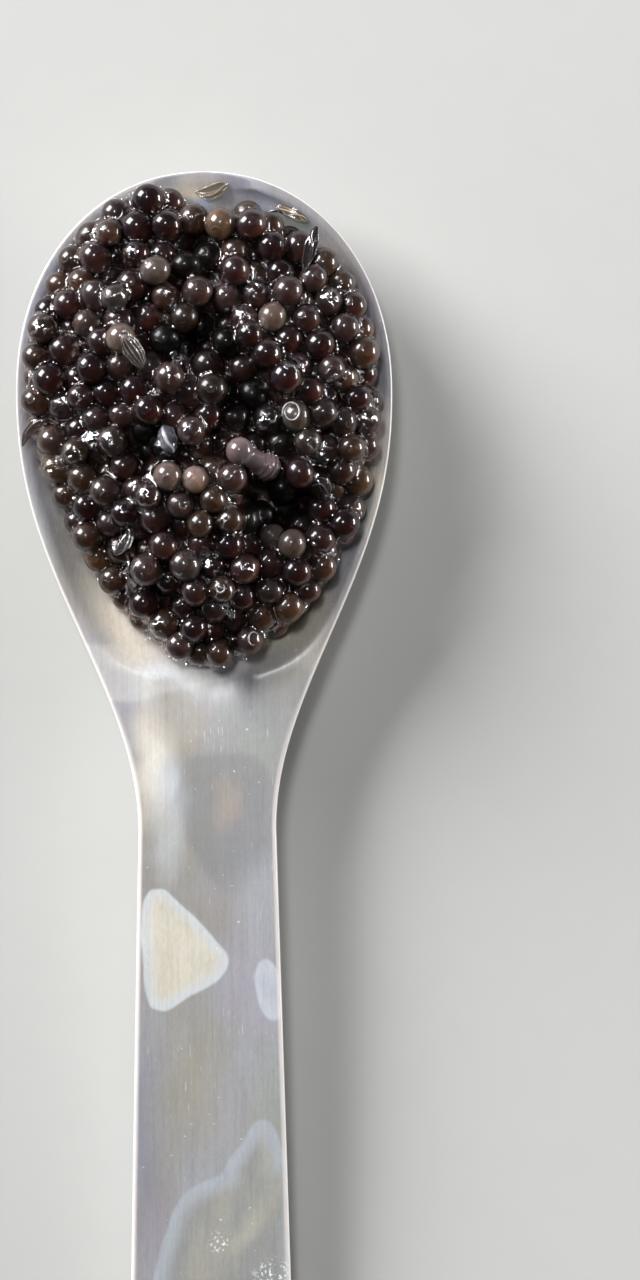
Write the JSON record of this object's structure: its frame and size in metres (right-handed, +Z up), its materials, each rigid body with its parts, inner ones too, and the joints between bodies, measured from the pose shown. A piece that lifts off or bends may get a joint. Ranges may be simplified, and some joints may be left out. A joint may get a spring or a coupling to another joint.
{
  "type": "spoon of caviar",
  "caption": "Flat-handled mother-of-pearl spoon with a shallow oval bowl that holds a heap of small dark glossy sturgeon eggs.",
  "frame": {"origin": "on the table, under the deepest point of the bowl, in the middle of the small flat spot that the bowl rests on", "axes": "+Y along the spoon from the end of the handle to the tip of the bowl, +Z up, +X to the right as seen from above with the tip away from the viewer"},
  "size_m": [0.032, 0.125, 0.014],
  "materials": {
    "mother_of_pearl": "polished, pearly",
    "roe": "wet, glossy"
  },
  "bodies": {
    "root": {"spoon": "mother_of_pearl", "caviar": "roe"}
  },
  "joints": []
}
